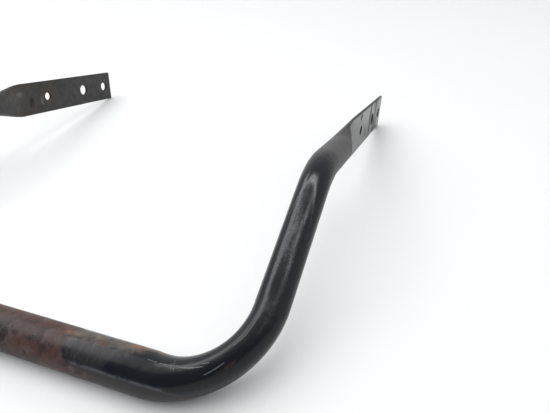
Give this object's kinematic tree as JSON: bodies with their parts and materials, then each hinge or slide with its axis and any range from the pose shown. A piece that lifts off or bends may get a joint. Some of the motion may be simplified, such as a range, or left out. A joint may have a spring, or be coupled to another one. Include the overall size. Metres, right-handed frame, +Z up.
{
  "type": "sway bar",
  "caption": "U-shaped tubular sway bar with a straight centre section, arms that rise and drop again, and flattened ends drilled for drop links.",
  "frame": {"origin": "middle of the centre section, on the tube's axis, which is the torsion axis", "axes": "+X along the torsion axis, +Y from the centre section towards the blade tips, +Z up, with the bar at rest on its centre section and its two blade tips"},
  "size_m": [0.4614, 0.476, 0.1022],
  "materials": {
    "black_paint": "gloss black paint, worn and rust stained"
  },
  "bodies": {
    "root": {"sway_bar": "black_paint"}
  },
  "joints": []
}
